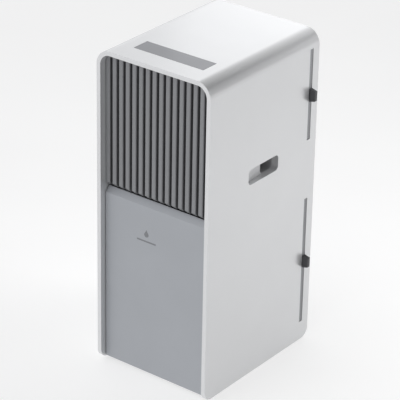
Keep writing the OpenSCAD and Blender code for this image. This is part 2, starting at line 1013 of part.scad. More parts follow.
// Fan motor with cooling ribs and a bore for the shaft
module fan_motor() {
  rib = 2;
  rib_len = 5;
  rib_n = 4;
  bore = 12;
  rib_pitch = (motor_len - rib_len) / rib_n;
  color(steel_c)
    translate([0, motor_y + motor_len, fan_z])
      rotate([90, 0, 0])
        difference() {
          union() {
            cylinder(h = motor_len, r = motor_r - rib);
            for (i = [0 : rib_n - 1])
              translate([0, 0, (i + 0.5) * rib_pitch])
                cylinder(h = rib_len, r = motor_r);
          }
          translate([0, 0, motor_len - bore])
            cylinder(h = bore + eps, r = shaft_r + pin_gap);
        }
}

// Motor shaft that carries the fan
module fan_shaft() {
  grip = 10;
  color(steel_c)
    translate([0, motor_y + grip, fan_z])
      rotate([90, 0, 0])
        cylinder(h = motor_y + grip - hub_y, r = shaft_r);
}

// One pitched blade along +X, fan axis along Z
module blade() {
  chord = 36;
  root = hub_r - blade_t;
  intersection() {
    translate([root, 0, hub_len / 2])
      rotate([blade_pitch, 0, 0])
        span([0, fan_r - root + blade_t], [-chord / 2, chord / 2], [-blade_t / 2, blade_t / 2]);
    cylinder(h = hub_len, r = fan_r);
  }
}

// Axial fan: hub with pitched blades
module fan_impeller() {
  color(dark_c)
    translate([0, hub_y + hub_len, fan_z])
      rotate([90, 0, 0])
        difference() {
          union() {
            cylinder(h = hub_len, r = hub_r);
            for (i = [0 : blade_n - 1])
              rotate([0, 0, i * 360 / blade_n])
                blade();
          }
          translate([0, 0, -eps])
            cylinder(h = hub_len + 2 * eps, r = shaft_r);
        }
}

// Finned coil block
module coil_core(z0, z1) {
  n = floor(2 * coil_hw / fin_pitch) - 1;
  start = -(n - 1) * fin_pitch / 2;
  color(alu_c)
    difference() {
      span([-coil_hw, coil_hw], [coil_y0, coil_y1], [z0, z1]);
      for (i = [0 : n - 1])
        translate([start + i * fin_pitch, 0, 0]) {
          span([-fin_slot / 2, fin_slot / 2], [coil_y0 - eps, coil_y0 + fin_cut],
            [z0 - eps, z1 + eps]);
          span([-fin_slot / 2, fin_slot / 2], [coil_y1 - fin_cut, coil_y1 + eps],
            [z0 - eps, z1 + eps]);
        }
    }
}

// Pair of end plates that carry a coil and stand on z_foot
module coil_plates(z_foot, z1) {
  color(steel_c)
    for (s = sides)
      translate([s * (coil_x - plate_t / 2), 0, 0])
        span([-plate_t / 2, plate_t / 2], [coil_y0, coil_y1], [z_foot, z1]);
}

// Return bends between the tube rows, on alternate sides
module coil_bends(z0, rows) {
  color(copper_c)
    for (k = [0 : rows - 2]) {
      side = (k % 2 == 0) ? 1 : -1;
      translate([side * coil_x, coil_mid, z0 + (k + 0.5) * tube_pitch])
        rotate([0, side * 90, 0])
          rotate([90, 0, 0])
            rotate_extrude(angle = 180, $fn = arc_fn)
              translate([tube_pitch / 2, 0])
                circle(tube_r, $fn = ring_fn);
    }
}

module evaporator_core() {
  coil_core(evap_z, evap_top);
}

module evaporator_plates() {
  coil_plates(tray_floor + tray_wall, evap_top);
}

module evaporator_bends() {
  coil_bends(evap_tube_z, evap_rows);
}

module condenser_core() {
  coil_core(cond_z, cond_top);
}

module condenser_plates() {
  coil_plates(pan_z, cond_top);
}

module condenser_bends() {
  coil_bends(cond_tube_z, cond_rows);
}

// Compressor shell with domed ends
module compressor() {
  low = comp_z + sheet_t;
  color(black_c)
    translate([comp_x, comp_y, 0])
      intersection() {
        translate([0, 0, low])
          cylinder(h = comp_h + comp_r, r = comp_r);
        union() {
          translate([0, 0, comp_top - dome_drop])
            sphere(dome_r);
          translate([0, 0, low])
            cylinder(h = comp_h - dome_drop, r = comp_r);
        }
      }
}

// Three-lobed foot plate under the compressor
module compressor_foot() {
  color(black_c)
    translate([comp_x, comp_y, comp_z]) {
      cylinder(h = sheet_t, r = comp_r - foot_inset);
      for (a = lobe_angles)
        rotate([0, 0, a]) {
          span([0, lobe_r], [-grommet_r, grommet_r], [0, sheet_t]);
          translate([lobe_r, 0, 0])
            cylinder(h = sheet_t, r = grommet_r);
        }
    }
}

// Three rubber grommets between the foot plate and the base pan
module grommets() {
  groove = 2.5;
  band = comp_lift / 3;
  color(rubber_c)
    translate([comp_x, comp_y, pan_z])
      for (a = lobe_angles)
        rotate([0, 0, a])
          translate([lobe_r, 0, 0]) {
            cylinder(h = band, r = grommet_r);
            cylinder(h = comp_lift, r = grommet_r - groove);
            translate([0, 0, 2 * band])
              cylinder(h = band, r = grommet_r);
          }
}

// Terminal cover on top of the compressor
module terminal_cap() {
  cover_w = 30;
  cover_h = 24;
  sink = 8;
  x0 = comp_x - comp_r / 2 - cover_w / 2;
  z0 = comp_peak - sink;
  color(dark_c)
    difference() {
      span([x0, x0 + cover_w], [comp_y - cover_w / 2, comp_y + cover_w / 2], [z0, z0 + cover_h]);
      translate([comp_x, comp_y, comp_top - dome_drop])
        sphere(dome_r);
    }
}

// Suction accumulator beside the compressor
module accumulator() {
  saddle = 4;
  color(black_c) {
    translate([acc_x, acc_y, acc_z])
      cylinder(h = acc_h, r = acc_r);
    translate([acc_x, acc_y, acc_z])
      sphere(acc_r);
    translate([acc_x, acc_y, acc_z + acc_h])
      sphere(acc_r);
    difference() {
      rod([comp_x, comp_y, acc_z + acc_h / 2], [acc_x, acc_y, acc_z + acc_h / 2], saddle);
      translate([comp_x, comp_y, pan_z])
        cylinder(h = shelf_z, r = comp_r);
    }
  }
}

// Hot gas pipe from the compressor to the lower coil
module discharge_pipe() {
  color(copper_c)
    difference() {
      pipe_run([[comp_x, comp_y, comp_top], [comp_x, comp_y, hot_z], [comp_x, pipe_y, hot_z],
        [pipe_x, pipe_y, hot_z], [pipe_x, pipe_y, cond_last_z], [pipe_x, coil_mid, cond_last_z],
        [coil_x, coil_mid, cond_last_z]], pipe_r);
      translate([comp_x, comp_y, comp_top - dome_drop])
        sphere(dome_r);
    }
}

// Cold gas pipe from the upper coil to the accumulator
module suction_pipe() {
  top = acc_z + acc_h;
  color(copper_c)
    difference() {
      pipe_run([[coil_x, coil_mid, evap_last_z], [pipe_x, coil_mid, evap_last_z],
        [pipe_x, pipe_y, evap_last_z], [pipe_x, pipe_y, cool_z], [acc_x, pipe_y, cool_z],
        [acc_x, acc_y, cool_z], [acc_x, acc_y, top]], pipe_r);
      translate([acc_x, acc_y, top])
        sphere(acc_r);
    }
}

// Liquid line from the lower coil to the upper coil
module capillary_pipe() {
  y = cap_pipe_y;
  dryer_r = 6;
  dryer_h = 60;
  dryer_z = cond_z + dryer_h;
  color(copper_c) {
    pipe_run([[-coil_x, coil_mid, cond_tube_z], [-pipe_x, coil_mid, cond_tube_z],
      [-pipe_x, y, cond_tube_z], [-pipe_x, y, evap_tube_z], [-pipe_x, coil_mid, evap_tube_z],
      [-coil_x, coil_mid, evap_tube_z]], cap_pipe_r);
    translate([-pipe_x, y, dryer_z])
      cylinder(h = dryer_h, r = dryer_r);
  }
}

// Control box on the bulkhead, open towards +Y
module control_box() {
  w = skin_t;
  color(frame_c)
    difference() {
      span([ctl_x0, ctl_x1], [ctl_y0, ctl_y1], [ctl_z0, ctl_z1]);
      span([ctl_x0 + w, ctl_x1 - w], [ctl_y0 + w, ctl_y1 + eps], [ctl_z0 + w, ctl_z1 - w]);
    }
}

// Lid of the control box
module control_lid() {
  color(frame_c)
    span([ctl_x0, ctl_x1], [ctl_y1, ctl_y1 + skin_t], [ctl_z0, ctl_z1]);
}

// Main circuit board inside the control box, with a relay and a capacitor block
module main_board() {
  w = skin_t;
  edge = 3;
  y = ctl_y0 + w;
  relay = [18, 20, 30];
  relay_at = [10, 15];
  block = [16, 14, 36];
  block_at = [34, 60];
  color(board_c) {
    span([ctl_x0 + edge, ctl_x1 - edge], [y, y + board_t], [ctl_z0 + edge, ctl_z1 - edge]);
    translate([ctl_x0 + relay_at[0], y, ctl_z0 + relay_at[1]])
      cube(relay);
    translate([ctl_x0 + block_at[0], y, ctl_z0 + block_at[1]])
      cube(block);
  }
}

// Run capacitor on the base pan
module run_capacitor() {
  cup_h = 6;
  blade_w = 4;
  blade_rise = 8;
  color(alu_c)
    translate([cap_x, cap_y, pan_z]) {
      cylinder(h = cup_h, r = cap_r + skin_t);
      cylinder(h = cup_h + cap_h, r = cap_r);
      for (s = sides)
        translate([s * cap_r / 2, 0, cup_h + cap_h / 2])
          span([-blade_w / 2, blade_w / 2], [-eps / 2, eps / 2], [0, cap_h / 2 + blade_rise]);
    }
}

// Drip tray under the upper coil, on two ribs
module drip_tray() {
  w = tray_wall;
  color(panel_c)
    difference() {
      union() {
        span([-tray_x, tray_x], [tray_y0, tray_y1], [tray_floor, tray_top]);
        for (s = sides)
          translate([s * tray_rib_x, 0, 0])
            span([-w, w], [tray_y0, tray_y1], [shelf_top, tray_floor + eps]);
      }
      span([-tray_x + w, tray_x - w], [tray_y0 + w, tray_y1 - w], [tray_floor + w, tray_top + eps]);
      translate([spout_x, 0, spout_z])
        along_y(tray_y1 - w - eps, tray_y1 + eps)
          circle(spout_r);
      translate([0, 0, spout_z])
        along_y(tray_y0 - eps, tray_y0 + w + eps)
          circle(spout_r);
    }
}

// Drain pipe from the drip tray to the tank's inlet
module drain_pipe() {
  drop = 9;
  color(panel_c)
    difference() {
      pipe_run([[0, tray_y0 + tray_wall, spout_z], [0, inlet_y, spout_z],
        [0, inlet_y, shelf_z - drop]], spout_r);
      pipe_run([[0, tray_y0 + tray_wall + eps, spout_z], [0, inlet_y, spout_z],
        [0, inlet_y, shelf_z - drop - eps]], spout_bore_r);
    }
}

// Rear drain spout for a hose, with a collar against the rear cover
module drain_spout() {
  len = spout_end - tray_y1 + tray_wall;
  color(dark_c)
    translate([spout_x, spout_end, spout_z])
      rotate([90, 0, 0])
        difference() {
          union() {
            cylinder(h = len, r = spout_r);
            translate([0, 0, spout_end - cover_back - collar_t])
              cylinder(h = collar_t, r = collar_r);
          }
          translate([0, 0, -eps])
            cylinder(h = len + 2 * eps, r = spout_bore_r);
        }
}

// Rubber plug pushed into the drain spout, its head slimmer than the spout
module drain_plug() {
  color(rubber_c)
    translate([spout_x, spout_end, spout_z]) {
      rotate([90, 0, 0])
        cylinder(h = plug_len, r = spout_bore_r - pin_gap);
      rotate([-90, 0, 0])
        cylinder(h = plug_head, r = (spout_r + spout_bore_r) / 2);
    }
}

// Humidity sensor pod on the rear cover, with air slots
module humidity_sensor() {
  z = shelf_z - sensor_drop;
  slit_n = 5;
  slit_pitch = 4;
  slit_w = 2;
  slit_d = 4;
  color(shell_c)
    difference() {
      span([spout_x - sensor_w / 2, spout_x + sensor_w / 2], [cover_y - sensor_d, cover_y],
        [z, z + sensor_h]);
      for (i = [0 : slit_n - 1])
        translate([spout_x + (i - (slit_n - 1) / 2) * slit_pitch, cover_y - sensor_d, z])
          span([-slit_w / 2, slit_w / 2], [-eps, slit_d], [slit_pitch, sensor_h - slit_pitch]);
    }
}

// Full-tank sensor on the bulkhead, behind the float
module tank_sensor() {
  w = 30;
  h = 18;
  d = 5;
  z = float_z - float_drop / 2;
  color(dark_c)
    span([float_x - w / 2, float_x + w / 2], [bulk_y - d, bulk_y], [z - h / 2, z + h / 2]);
}

// Appliance inlet socket in the rear cover
module power_inlet() {
  w = socket_wall;
  color(black_c)
    translate([socket_x, 0, socket_z])
      difference() {
        union() {
          along_y(cover_back, cover_back + skin_t)
            square([socket_w + 2 * socket_flange, socket_h + 2 * socket_flange], center = true);
          along_y(cover_back - socket_depth, cover_back + eps)
            square([socket_w, socket_h], center = true);
        }
        along_y(cover_back - socket_depth + w, cover_back + skin_t + eps)
          square([socket_w - 2 * w, socket_h - 2 * w], center = true);
      }
}

// Three contact blades inside the inlet socket
module inlet_pins() {
  pin_len = 12;
  pin_w = 2;
  pin_h = 4;
  pitch = 7;
  rise = 2;
  color(steel_c)
    translate([socket_x, cover_back - socket_depth + socket_wall, socket_z])
      for (i = [-1 : 1])
        translate([i * pitch, 0, (i == 0) ? rise : -rise])
          span([-pin_w / 2, pin_w / 2], [0, pin_len], [-pin_h / 2, pin_h / 2]);
}

// Water bucket, open at the top
module tank_bucket() {
  w = bucket_wall;
  color(clear_c)
    translate([0, bucket_mid, bucket_z])
      difference() {
        linear_extrude(bucket_h)
          round_outline(2 * bucket_hw, bucket_d, bucket_r);
        translate([0, 0, w])
          linear_extrude(bucket_h)
            round_outline(2 * (bucket_hw - w), bucket_d - 2 * w, bucket_r - w);
      }
}

// Front panel of the tank with a bevelled top edge and side returns
module tank_front() {
  z1 = panel_top - panel_bevel;
  back = panel_t * sqrt(2);
  color(panel_c) {
    along_x(-panel_hw, panel_hw)
      polygon([[face_y, panel_z], [face_y, z1], [face_y + panel_bevel, panel_top],
        [face_y + panel_bevel, panel_top - back], [panel_back, z1 + panel_t - back],
        [panel_back, panel_z]]);
    for (s = sides)
      translate([s * (panel_hw - panel_t / 2), 0, 0])
        span([-panel_t / 2, panel_t / 2], [panel_back - eps, panel_back + return_d],
          [pan_z + panel_lift, z1 - 2 * panel_t]);
  }
}

// Lug with a pivot hole along X
module lug(x, y, z0, z1, pz, hole_r) {
  r = hole_r + lug_wall;
  difference() {
    union() {
      span([x - lug_t / 2, x + lug_t / 2], [y - r, y + r], [z0, z1]);
      translate([x - lug_t / 2, y, pz])
        rotate([0, 90, 0])
          cylinder(h = lug_t, r = r);
    }
    translate([x - lug_t / 2 - eps, y, pz])
      rotate([0, 90, 0])
        cylinder(h = lug_t + 2 * eps, r = hole_r + pin_gap);
  }
}

// Lid with the water inlet, the bail lugs and the float lugs
module tank_lid() {
  color(panel_c) {
    difference() {
      translate([0, bucket_mid, bucket_top])
        linear_extrude(lid_t)
          round_outline(2 * bucket_hw, bucket_d, bucket_r);
      span([-inlet_w / 2, inlet_w / 2], [inlet_y - inlet_d / 2, inlet_y + inlet_d / 2],
        [bucket_top - eps, lid_top + eps]);
    }
    for (s = sides)
      lug(s * (bail_hw + bail_w / 2 + lug_t / 2 + lug_gap), bail_y, lid_top - eps, bail_z, bail_z,
        bail_pin_r);
    for (s = sides)
      lug(float_x + s * float_lug_x, float_y, float_z, bucket_top, float_z, float_pin_r);
  }
}

// Carrying bail, folded back on the lid
module tank_bail() {
  pin_len = lug_t + lug_gap;
  color(dark_c)
    translate([0, bail_y, bail_z]) {
      for (s = sides)
        translate([s * bail_hw, 0, 0]) {
          span([-bail_w / 2, bail_w / 2], [0, bail_len], [-bail_r, bail_r]);
          rotate([0, 90, 0])
            translate([0, 0, -bail_w / 2])
              cylinder(h = bail_w, r = bail_r);
          rotate([0, s * 90, 0])
            cylinder(h = bail_w / 2 + pin_len, r = bail_pin_r);
        }
      translate([-bail_hw - bail_w / 2, bail_len, 0])
        rotate([0, 90, 0])
          cylinder(h = 2 * bail_hw + bail_w, r = bail_r);
    }
}

// Float block on its pivot arm
module tank_float() {
  half = float_lug_x - lug_t / 2 - lug_gap;
  color(shell_c)
    translate([float_x, float_y, float_z]) {
      translate([-float_lug_x - lug_t / 2, 0, 0])
        rotate([0, 90, 0])
          cylinder(h = 2 * float_lug_x + lug_t, r = float_pin_r);
      span([-half, half], [-float_reach, float_arm], [-float_arm, float_arm]);
      span([-half, half], [-float_reach, -float_reach + 2 * float_arm], [-float_drop, 0]);
      span([-float_w / 2, float_w / 2], [-float_reach - float_d / 2, -float_reach + float_d / 2],
        [-float_drop - float_h, -float_drop + eps]);
    }
}

sleeve();
front_grille();
base_pan();
rubber_feet();
tank_bulkhead();
mid_shelf();
rear_cover();
rear_screws();
upper_guides();
lower_guides();
pocket_right();
pocket_left();
touch_strip();
display_board();
fan_shroud();
motor_bracket();
fan_motor();
fan_shaft();
fan_impeller();
evaporator_core();
evaporator_plates();
evaporator_bends();
condenser_core();
condenser_plates();
condenser_bends();
compressor();
compressor_foot();
grommets();
terminal_cap();
accumulator();
discharge_pipe();
suction_pipe();
capillary_pipe();
control_box();
control_lid();
main_board();
run_capacitor();
drip_tray();
drain_pipe();
drain_spout();
drain_plug();
humidity_sensor();
tank_sensor();
power_inlet();
inlet_pins();
tank_bucket();
tank_front();
tank_lid();
tank_bail();
tank_float();
upper_filter_frame();
upper_filter_mesh();
upper_filter_tab();
lower_filter_frame();
lower_filter_mesh();
lower_filter_tab();
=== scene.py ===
import json
import math

import bmesh
import bpy
from mathutils import Matrix, Vector


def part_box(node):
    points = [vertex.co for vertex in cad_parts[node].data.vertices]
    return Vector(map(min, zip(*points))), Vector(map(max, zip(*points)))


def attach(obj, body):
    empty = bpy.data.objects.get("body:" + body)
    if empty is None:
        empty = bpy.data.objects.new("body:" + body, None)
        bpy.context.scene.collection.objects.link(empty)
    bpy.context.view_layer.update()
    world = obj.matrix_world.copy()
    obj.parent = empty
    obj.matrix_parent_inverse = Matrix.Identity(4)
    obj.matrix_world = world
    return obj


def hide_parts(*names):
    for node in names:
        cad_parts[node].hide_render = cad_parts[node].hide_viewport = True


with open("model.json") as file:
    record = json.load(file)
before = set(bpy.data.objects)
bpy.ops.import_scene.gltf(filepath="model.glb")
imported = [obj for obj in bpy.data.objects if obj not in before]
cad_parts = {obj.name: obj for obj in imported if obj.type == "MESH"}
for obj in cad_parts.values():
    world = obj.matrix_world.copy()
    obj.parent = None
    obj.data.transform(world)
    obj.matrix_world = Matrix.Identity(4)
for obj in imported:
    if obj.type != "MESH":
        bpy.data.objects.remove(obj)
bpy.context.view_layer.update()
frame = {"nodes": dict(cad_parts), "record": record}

MM = 0.001
NODES = frame["nodes"]
BODY_OF = {n: b for b, ns in frame["record"]["behaviour"]["bodies"].items() for n in ns}
SLOT_OF = {s["node"]: s["material_slot"] for s in frame["record"]["subparts"]}
scene = bpy.context.scene


# ---------------------------------------------------------------- camera

CAM_AT = Vector((2.0762, -2.7349, 2.0352))
CAM_AZ = math.radians(37.39)
CAM_EL = math.radians(26.86)
CAM_ROLL = math.radians(1.10)
CAM_LENS = 199.16
CAM_SENSOR = 36.0
CAM_NEAR = 0.05
CAM_FAR = 100.0


def make_camera():
    """Camera in front, to the right and above, slightly rolled."""
    back = Vector((math.sin(CAM_AZ) * math.cos(CAM_EL),
                   -math.cos(CAM_AZ) * math.cos(CAM_EL),
                   math.sin(CAM_EL)))
    right = Vector((math.cos(CAM_AZ), math.sin(CAM_AZ), 0.0))
    up = back.cross(right)
    cosr, sinr = math.cos(CAM_ROLL), math.sin(CAM_ROLL)
    right, up = cosr * right + sinr * up, cosr * up - sinr * right
    data = bpy.data.cameras.new("camera")
    data.lens = CAM_LENS
    data.sensor_width = CAM_SENSOR
    data.clip_start = CAM_NEAR
    data.clip_end = CAM_FAR
    cam = bpy.data.objects.new("camera", data)
    scene.collection.objects.link(cam)
    turn = Matrix((right, up, back)).transposed().to_4x4()
    cam.matrix_world = Matrix.Translation(CAM_AT) @ turn
    scene.camera = cam


make_camera()


# ---------------------------------------------------------------- node helpers

# Sockets of the mix node that belong to its colour mode.
MIX_FACTOR, MIX_A, MIX_B, MIX_COLOR = 0, 6, 7, 2

# Radians that a wave texture turns through in one metre at scale 1.
WAVE_PHASE = 20


class Nodes:
    """Small helper that builds one node material."""

    def __init__(self, name):
        self.name = name
        self.mat = bpy.data.materials.new(name)
        self.mat.use_nodes = True
        self.tree = self.mat.node_tree
        self.bsdf = self.tree.nodes["Principled BSDF"]
        self.coords = self.tree.nodes.new("ShaderNodeTexCoord")

    def set(self, **values):
        for key, value in values.items():
            label = key.replace("_", " ").title().replace("Ior", "IOR")
            self.bsdf.inputs[label].default_value = value

    def link(self, a, b):
        self.tree.links.new(a, b)

    def feed(self, socket, value):
        """Links a socket to another node's output, or sets it to a number or a colour."""
        if isinstance(value, (int, float)):
            socket.default_value = value
        elif isinstance(value, tuple):
            socket.default_value = (*value, 1.0)
        else:
            self.link(value, socket)

    def mapped(self, scale):
        node = self.tree.nodes.new("ShaderNodeMapping")
        node.inputs["Scale"].default_value = scale
        self.link(self.coords.outputs["Object"], node.inputs["Vector"])
        return node.outputs["Vector"]

    def noise(self, scale, detail=2.0, rough=0.5, vector=None):
        node = self.tree.nodes.new("ShaderNodeTexNoise")
        node.inputs["Scale"].default_value = scale
        node.inputs["Detail"].default_value = detail
        node.inputs["Roughness"].default_value = rough
        self.link(vector or self.coords.outputs["Object"], node.inputs["Vector"])
        return node.outputs["Fac"]

    def voronoi(self, scale, vector=None):
        node = self.tree.nodes.new("ShaderNodeTexVoronoi")
        node.inputs["Scale"].default_value = scale
        self.link(vector or self.coords.outputs["Object"], node.inputs["Vector"])
        return node.outputs["Distance"]

    def bands(self, radian, axis):
        """Sine bands across one axis; radian is the length of one radian of them."""
        node = self.tree.nodes.new("ShaderNodeTexWave")
        node.wave_type = "BANDS"
        node.bands_direction = axis
        node.inputs["Scale"].default_value = 1 / radian / WAVE_PHASE
        self.link(self.coords.outputs["Object"], node.inputs["Vector"])
        return node.outputs["Fac"]

    def ramp(self, fac, stops):
        node = self.tree.nodes.new("ShaderNodeValToRGB")
        for element, (at, color) in zip(node.color_ramp.elements, stops):
            element.position = at
            element.color = (*color, 1.0)
        self.link(fac, node.inputs["Fac"])
        return node.outputs["Color"]

    def math(self, op, a, b):
        node = self.tree.nodes.new("ShaderNodeMath")
        node.operation = op
        self.feed(node.inputs[0], a)
        self.feed(node.inputs[1], b)
        return node.outputs[0]

    def range(self, fac, lo, hi):
        node = self.tree.nodes.new("ShaderNodeMapRange")
        node.inputs["To Min"].default_value = lo
        node.inputs["To Max"].default_value = hi
        self.link(fac, node.inputs["Value"])
        return node.outputs["Result"]

    def fade(self, value, start, end):
        """Smooth step from 0 at start to 1 at end."""
        node = self.tree.nodes.new("ShaderNodeMapRange")
        node.interpolation_type = "SMOOTHSTEP"
        node.inputs["From Min"].default_value = start
        node.inputs["From Max"].default_value = end
        self.link(value, node.inputs["Value"])
        return node.outputs["Result"]

    def mix(self, fac, a, b):
        """Colour between a and b."""
        node = self.tree.nodes.new("ShaderNodeMix")
        node.data_type = "RGBA"
        for index, value in ((MIX_FACTOR, fac), (MIX_A, a), (MIX_B, b)):
            self.feed(node.inputs[index], value)
        return node.outputs[MIX_COLOR]

    def bump(self, height, depth):
        node = self.tree.nodes.new("ShaderNodeBump")
        node.inputs["Strength"].default_value = 1.0
        node.inputs["Distance"].default_value = depth
        self.link(height, node.inputs["Height"])
        self.link(node.outputs["Normal"], self.bsdf.inputs["Normal"])


def shade(color, factor):
    return tuple(min(1.0, c * factor) for c in color)


# Noise scales of moulded surfaces: broad colour clouds, uneven sheen, and specks that are
# finer than the grain and darker than the colour.
CLOUD_SCALE = 9.0
WEAR_SCALE = 26.0
SPECK_FINER = 1.7
SPECK_SHADE = 0.6


def moulded(name, color, rough, grain=1800.0, depth=0.03 * MM, cloud=0.04, rough_var=0.06,
            **extra):
    """Moulded plastic or paint: spark-eroded grain, faint colour clouds, uneven sheen."""
    m = Nodes(name)
    m.set(**extra)
    tint = m.ramp(m.noise(scale=CLOUD_SCALE, detail=3.0, rough=0.6),
                  ((0.3, shade(color, 1 - cloud)), (0.7, shade(color, 1 + cloud))))
    speck = m.noise(scale=grain * SPECK_FINER, detail=1.0, rough=0.5)
    tint = m.mix(m.range(speck, 0.0, cloud), tint, shade(color, SPECK_SHADE))
    m.link(tint, m.bsdf.inputs["Base Color"])
    wear = m.noise(scale=WEAR_SCALE, detail=4.0, rough=0.65)
    m.link(m.range(wear, rough - rough_var, rough + rough_var), m.bsdf.inputs["Roughness"])
    m.bump(m.noise(scale=grain, detail=2.0, rough=0.6), depth)
    return m


def depth_shaded(name, color, rough, dark, axis, start, end):
    """Moulded plastic with painted shade, darker from one depth to another as in a shaded
    recess.
    """
    m = moulded(name, color, rough, grain=2000.0, depth=0.015 * MM, cloud=0.03)
    split = m.tree.nodes.new("ShaderNodeSeparateXYZ")
    m.link(m.coords.outputs["Object"], split.inputs[0])
    place = m.math("ABSOLUTE", split.outputs[axis], 0.0)
    # Painted shade: the colour turns from the unshaded colour to the dark one with depth.
    unshaded = m.bsdf.inputs["Base Color"].links[0].from_socket
    m.link(m.mix(m.fade(place, start, end), unshaded, dark), m.bsdf.inputs["Base Color"])
    return m


def brushed(name, color, rough, line_scale):
    """Sheet or turned metal with drawn lines and faint stains."""
    m = Nodes(name)
    m.set(metallic=1.0)
    lines = m.noise(scale=60.0, detail=4.0, rough=0.7, vector=m.mapped(line_scale))
    stain = m.noise(scale=14.0, detail=3.0, rough=0.6)
    tint = m.ramp(stain, ((0.35, shade(color, 0.86)), (0.7, shade(color, 1.05))))
    tint = m.mix(m.range(lines, 0.0, 0.3), tint, shade(color, 0.7))
    m.link(tint, m.bsdf.inputs["Base Color"])
    m.link(m.range(lines, rough - 0.1, rough + 0.12), m.bsdf.inputs["Roughness"])
    m.bump(lines, 0.02 * MM)
    return m


# ---------------------------------------------------------------- materials

# Material slot: colour, roughness, and what differs from the usual moulded look.
MOULDED = {
    "shell_paint": ((0.72, 0.725, 0.735), 0.30,
                    dict(grain=1100.0, depth=0.006 * MM, cloud=0.012, rough_var=0.03,
                         metallic=0.5, coat_weight=0.3, coat_roughness=0.18)),
    "panel_plastic": ((0.375, 0.39, 0.417), 0.46,
                      dict(grain=2200.0, depth=0.012 * MM, cloud=0.02, metallic=0.1)),
    "mark_plastic": ((0.20, 0.207, 0.22), 0.40, dict(cloud=0.03)),
    "strip_gloss": ((0.168, 0.174, 0.192), 0.32,
                    dict(grain=900.0, depth=0.002 * MM, cloud=0.015, rough_var=0.05,
                         coat_weight=0.6, coat_roughness=0.12)),
    "frame_plastic": ((0.42, 0.43, 0.45), 0.50, dict(cloud=0.03)),
    "filter_plastic": ((0.30, 0.305, 0.32), 0.50, dict(cloud=0.03)),
    "tab_plastic": ((0.055, 0.056, 0.06), 0.42,
                    dict(grain=1500.0, depth=0.04 * MM, cloud=0.08)),
    "dark_plastic": ((0.022, 0.023, 0.026), 0.40, dict(cloud=0.1)),
    "pale_plastic": ((0.72, 0.72, 0.70), 0.45, dict(cloud=0.02)),
    "lid_plastic": ((0.28, 0.30, 0.32), 0.48, dict(cloud=0.03)),
    "rubber": ((0.03, 0.03, 0.031), 0.78,
               dict(grain=1300.0, depth=0.08 * MM, cloud=0.15, sheen_weight=0.25)),
    "black_steel": ((0.012, 0.012, 0.013), 0.22,
                    dict(grain=700.0, depth=0.03 * MM, cloud=0.2, coat_weight=0.4,
                         coat_roughness=0.1)),
}

# Material slot: colour, roughness, and how the drawn lines are stretched along x, y and z.
BRUSHED = {
    "zinc_steel": ((0.60, 0.61, 0.62), 0.36, (1, 18, 18)),
    "copper": ((0.72, 0.36, 0.22), 0.28, (6, 6, 1)),
}

# Depths behind the surface where the painted shade of a recess starts and where it is
# darkest.
POCKET_UNSHADED, POCKET_DARK = 3.5 * MM, 9.0 * MM
SLAT_UNSHADED, SLAT_DARK = 1.0 * MM, 3.5 * MM

# Length of one radian of the bands that stand for fins and cloth.
FIN_RADIAN = 1.4 * MM
MESH_RADIAN = 1.2 * MM


def pocket_plastic():
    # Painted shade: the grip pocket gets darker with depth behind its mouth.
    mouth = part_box("pocket_right")[1].x
    return depth_shaded("pocket_plastic", (0.66, 0.665, 0.675), 0.45, (0.38, 0.38, 0.39), "X",
                mouth - POCKET_UNSHADED, mouth - POCKET_DARK)


def grille_plastic():
    # Painted shade: the gaps between the slats get darker behind the slat faces.
    face = abs(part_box("front_grille")[0].y)
    return depth_shaded("grille_plastic", (0.228, 0.232, 0.242), 0.42, (0.12, 0.12, 0.126), "Y",
                face - SLAT_UNSHADED, face - SLAT_DARK)


def fin_aluminium():
    """Bright bands of stacked fins, darker bands of painted shade for the gaps between
    them, and stains.
    """
    m = Nodes("fin_aluminium")
    m.set(metallic=1.0)
    comb = m.bands(FIN_RADIAN, "X")
    stain = m.noise(scale=22.0, detail=4.0, rough=0.6)
    # The dark colour of the comb is painted shade in the gaps between fins.
    tint = m.ramp(comb, ((0.15, (0.16, 0.165, 0.17)), (0.6, (0.78, 0.79, 0.80))))
    tint = m.mix(m.range(stain, 0.0, 0.35), tint, (0.45, 0.46, 0.46))
    m.link(tint, m.bsdf.inputs["Base Color"])
    m.link(m.range(stain, 0.28, 0.5), m.bsdf.inputs["Roughness"])
    m.bump(comb, 0.3 * MM)
    return m


def board_green():
    """Circuit board with lighter tracks and small solder pads."""
    m = Nodes("board_green")
    tracks = m.voronoi(scale=260.0, vector=m.mapped((1, 1, 0.35)))
    pads = m.math("LESS_THAN", m.voronoi(scale=420.0), 0.16)
    tint = m.ramp(tracks, ((0.30, (0.012, 0.09, 0.035)), (0.34, (0.03, 0.20, 0.08))))
    tint = m.mix(pads, tint, (0.62, 0.60, 0.55))
    m.link(tint, m.bsdf.inputs["Base Color"])
    m.link(m.range(m.noise(scale=90.0), 0.22, 0.4), m.bsdf.inputs["Roughness"])
    m.bump(tracks, 0.05 * MM)
    return m


def filter_mesh():
    """Woven cloth with some dust in it."""
    m = Nodes("filter_mesh")
    cloth = m.math("MAXIMUM", m.bands(MESH_RADIAN, "X"), m.bands(MESH_RADIAN, "Z"))
    dust = m.noise(scale=30.0, detail=5.0, rough=0.7)
    tint = m.ramp(cloth, ((0.45, (0.008, 0.008, 0.009)), (0.8, (0.075, 0.077, 0.082))))
    tint = m.mix(m.range(dust, 0.0, 0.18), tint, (0.30, 0.29, 0.27))
    m.link(tint, m.bsdf.inputs["Base Color"])
    m.link(m.range(dust, 0.6, 0.85), m.bsdf.inputs["Roughness"])
    m.bump(cloth, 0.25 * MM)
    return m


def tank_clear():
    """Cloudy plastic that lets a little light through."""
    m = Nodes("tank_clear")
    m.set(ior=1.49, transmission_weight=0.3)
    haze = m.noise(scale=12.0, detail=3.0, rough=0.6)
    tint = m.ramp(haze, ((0.3, (0.62, 0.68, 0.72)), (0.7, (0.74, 0.79, 0.82))))
    m.link(tint, m.bsdf.inputs["Base Color"])
    wear = m.noise(scale=60.0, detail=4.0, rough=0.7)
    m.link(m.range(wear, 0.22, 0.38), m.bsdf.inputs["Roughness"])
    m.bump(m.noise(scale=900.0), 0.03 * MM)
    return m


